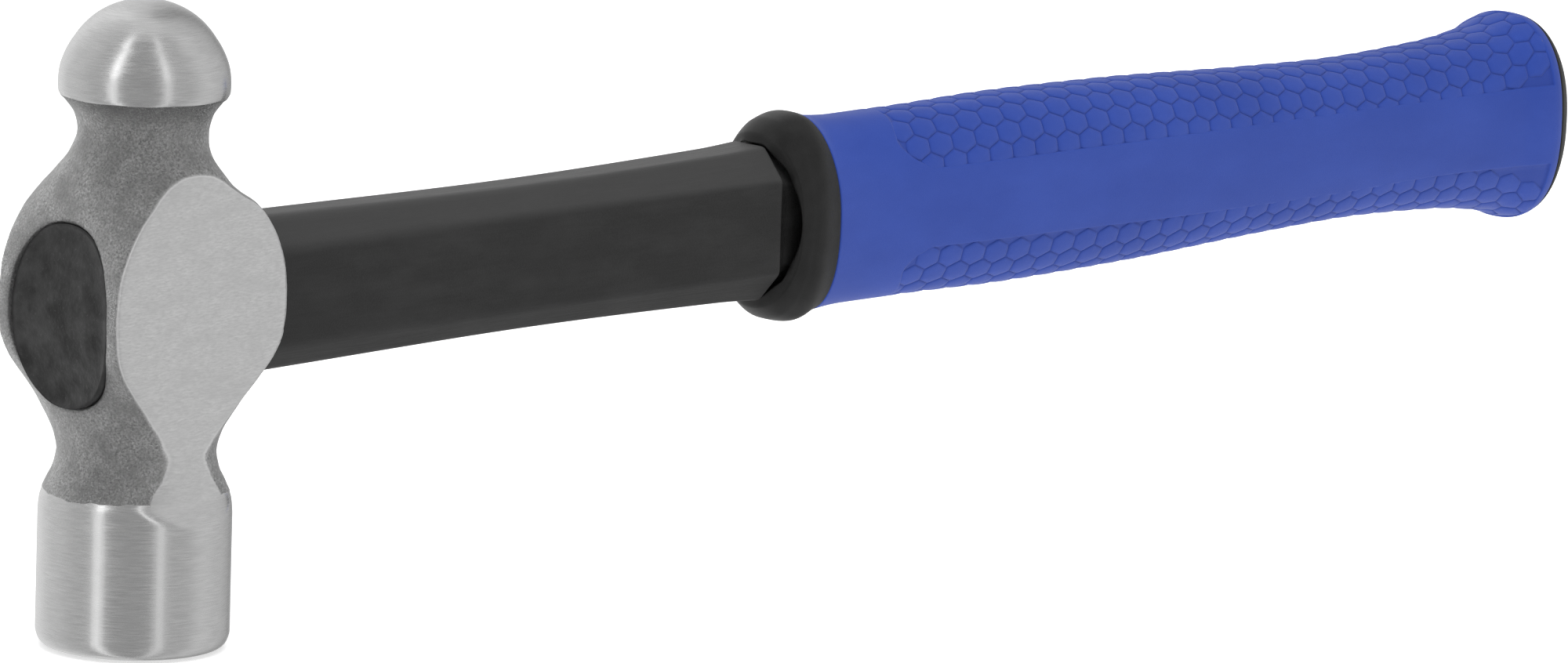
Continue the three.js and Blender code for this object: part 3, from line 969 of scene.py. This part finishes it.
def rubber_finish():
    """Matt blue rubber, with painted shade in the grooves and a fine moulded grain."""
    f = Finish("blue_rubber")
    grain = f.noise(5.5, detail=5, roughness=0.65, seed=1)
    clouds = f.noise(0.1, (0.5, 1, 1), 4, 0.6, 2)
    depth = f.remap(f.field("depth"), 0.1, PAD_DEPTH)
    colour = f.mix_colour(f.remap(clouds, 0.35, 0.68), (0.018, 0.052, 0.305), (0.024, 0.063, 0.345))
    colour = f.mix_colour(f.remap(grain, 0.3, 0.7, 0, 0.22), colour, (0.015, 0.042, 0.255))
    # Painted shade: the colour darkens where the grooves between the tiles sink in.
    colour = f.mix_colour(f.math("MULTIPLY", depth, 0.3), colour, (0.014, 0.032, 0.2))
    return f.finish(Base_Color=colour, Roughness=f.remap(grain, 0.3, 0.7, 0.5, 0.64),
                    Normal=f.bump(grain, 0.03), Specular_IOR_Level=0.25,
                    Sheen_Weight=0.12, Sheen_Roughness=0.45)


# ---- Studio ----

CAMERA_AZIMUTH = 42.06  # degrees from the -Y side of the head towards its front
CAMERA_HEIGHT = 10.54  # degrees above the horizon
CAMERA_DISTANCE = 1800.0
CAMERA_TARGET = (0, 0, 53.4)  # the distance and the angles are from here
CAMERA_AIM = (142.45, 0, 34.09)
CAMERA_ROLL = 1.9  # degrees
CAMERA_LENS = 265.6
SENSOR_WIDTH = 36


def make_camera():
    azimuth, height = math.radians(CAMERA_AZIMUTH), math.radians(CAMERA_HEIGHT)
    back = -math.cos(height)
    away = Vector((back * math.sin(azimuth), back * math.cos(azimuth), math.sin(height)))
    camera = bpy.data.objects.new("camera", bpy.data.cameras.new("camera"))
    camera.data.lens = CAMERA_LENS
    camera.data.sensor_width = SENSOR_WIDTH
    camera.data.clip_start, camera.data.clip_end = 0.1, 100
    camera.location = (Vector(CAMERA_TARGET) + away * CAMERA_DISTANCE) * MM
    forward = (Vector(CAMERA_AIM) * MM - camera.location).normalized()
    roll = Quaternion((0, 0, 1), math.radians(CAMERA_ROLL))
    camera.rotation_mode = "QUATERNION"
    camera.rotation_quaternion = forward.to_track_quat("-Z", "Y") @ roll
    bpy.context.collection.objects.link(camera)
    bpy.context.scene.camera = camera


# The studio's walls: degrees round from in front of the hammer, and brightness.
WALLS = [
    (-180, 0.8), (-150, 0.95), (-110, 0.76), (-65, 0.56), (-51, 0.5), (-46, 1.55),
    (-40, 1.6), (-35, 0.46), (-28, 0.43), (0, 0.42), (21, 0.43), (26, 0.56),
    (29, 1.3), (33, 1.25), (38, 0.54), (60, 0.56), (90, 0.76), (122, 0.66),
    (145, 0.52), (152, 0.36), (160, 0.4), (170, 0.6), (180, 0.8),
]
WALL_LIMIT = 2.0  # brighter than any wall
STRIP_START = 0.9  # what is brighter than this is a strip
STRIP_BOOST = 1.8  # high up, a strip gains this many times what it has over STRIP_START
CEILING = 0.8
FLOOR_GLOW = 0.42  # the paper is lit a little from below, as on a light table


def make_world():
    """White walls with two tall soft strips of light, and a bright ceiling."""
    world = bpy.data.worlds.new("studio")
    world.use_nodes = True
    bpy.context.scene.world = world
    nodes = Nodes(world.node_tree)

    def along(way, direction):
        made = nodes.node("ShaderNodeVectorMath", {0: way, 1: direction}, operation="DOT_PRODUCT")
        return made.outputs["Value"]

    azimuth = math.radians(CAMERA_AZIMUTH)
    front = (-math.sin(azimuth), -math.cos(azimuth), 0)
    right = (math.cos(azimuth), -math.sin(azimuth), 0)
    way = nodes.node("ShaderNodeTexCoord").outputs["Generated"]
    turn = nodes.math("ARCTAN2", along(way, right), along(way, front))
    ramp = nodes.node("ShaderNodeValToRGB", {"Fac": nodes.remap(turn, -math.pi, math.pi)})
    ramp.color_ramp.interpolation = "EASE"
    stops = ramp.color_ramp.elements
    for degrees, _ in WALLS[1:-1]:
        stops.new((degrees + 180) / 360)
    for stop, (_, brightness) in zip(stops, WALLS):
        stop.color = (*grey(brightness / WALL_LIMIT), 1)
    walls = nodes.math("MULTIPLY", ramp.outputs["Color"], WALL_LIMIT)
    height = nodes.node("ShaderNodeSeparateXYZ", {0: way}).outputs["Z"]
    # The strips are brighter above the horizon, where the ball mirrors them.
    strips = nodes.math("MAXIMUM", nodes.math("SUBTRACT", walls, STRIP_START), 0.0)
    boost = nodes.remap(height, 0.1, 0.5, 0.0, STRIP_BOOST, interpolation="SMOOTHSTEP")
    walls = nodes.math("ADD", walls, nodes.math("MULTIPLY", strips, boost))
    above = nodes.remap(height, 0.9, 0.985, interpolation="SMOOTHSTEP")
    light = nodes.mix(above, walls, CEILING)
    light = nodes.mix(nodes.node("ShaderNodeLightPath").outputs["Is Camera Ray"], light, 1.0)
    background = nodes.node("ShaderNodeBackground", {"Color": (1, 1, 1, 1), "Strength": light})
    nodes.node("ShaderNodeOutputWorld", {"Surface": background.outputs[0]})


def make_softbox(name, place, aim, size, power):
    """A square lamp that lights the hammer without being mirrored in it. Places are in metres."""
    light = bpy.data.lights.new(name, "AREA")
    light.shape = "SQUARE"
    light.size = size
    light.energy = power
    lamp = bpy.data.objects.new(name, light)
    lamp.location = place
    lamp.rotation_mode = "QUATERNION"
    lamp.rotation_quaternion = (Vector(aim) - Vector(place)).to_track_quat("-Z", "Y")
    lamp.visible_camera = False
    lamp.visible_glossy = False
    bpy.context.collection.objects.link(lamp)


def make_floor():
    """A wide pale floor just under the striking face. Polished steel doesn't mirror it."""
    reach, drop = 60.0, 0.0002  # metres
    mesh = bpy.data.meshes.new("floor")
    corners = [(-reach, -reach), (reach, -reach), (reach, reach), (-reach, reach)]
    mesh.from_pydata([(x, y, -drop) for x, y in corners], [], [(0, 1, 2, 3)])
    f = Finish("floor_paper")
    tone = f.mix_colour(f.remap(f.noise(0.01), 0.3, 0.7), grey(0.93), grey(0.95))
    mesh.materials.append(f.finish(Base_Color=tone, Roughness=0.9, Emission_Color=(1, 1, 1, 1),
                                   Emission_Strength=FLOOR_GLOW))
    floor = bpy.data.objects.new("floor", mesh)
    floor.visible_glossy = False
    floor.visible_shadow = False
    bpy.context.collection.objects.link(floor)


# ---- Build ----

scene = bpy.context.scene
scene.view_settings.view_transform = "Standard"
make_camera()
make_world()
make_softbox("overhead", place=(-0.1, -0.3, 1.6), aim=(0.1, 0, 0), size=1.3, power=15)
make_floor()

blue, black = rubber_finish(), liner_finish()
build_head(steel_finish())
build_resin(resin_finish())
build_seal(seal_finish())
build_shaft(jacket_finish())
build_liner(black)
build_cover(blue)
build_pad("grip_tiles_upper", blue, range(-4, 5), from_bottom=False)
build_pad("grip_tiles_lower", blue, range(-4, 4), from_bottom=True)
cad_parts["fibreglass_core"].material_slots[0].material = core_finish()
